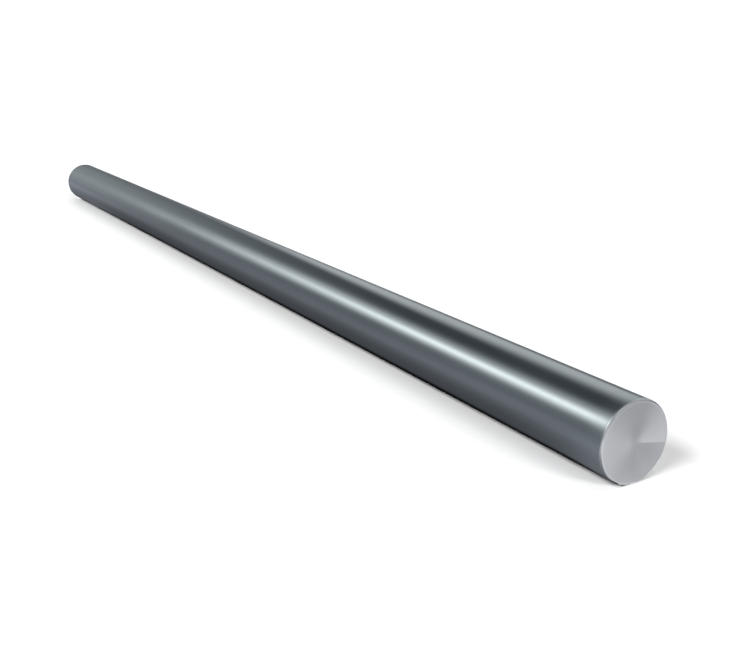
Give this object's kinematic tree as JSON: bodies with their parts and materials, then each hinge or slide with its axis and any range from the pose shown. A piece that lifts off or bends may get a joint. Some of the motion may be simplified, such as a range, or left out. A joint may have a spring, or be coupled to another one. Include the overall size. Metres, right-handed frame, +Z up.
{
  "type": "stainless steel round bar",
  "caption": "solid round bar of stainless steel: a straight cut length of bright stock with a smooth ground side, square faced ends and a small rounding on both edges",
  "frame": {"origin": "the middle of the bar's axis; the bar lies on its side, so the floor is one radius, 22.5 mm, below it", "axes": "+X along the bar, towards the end that faces the camera in the picture; +Z up as the bar lies; +Y level, completing the frame"},
  "size_m": [1, 0.0448, 0.045],
  "materials": {
    "stainless_steel": "satin"
  },
  "bodies": {
    "root": {"round_bar": "stainless_steel"}
  },
  "joints": []
}
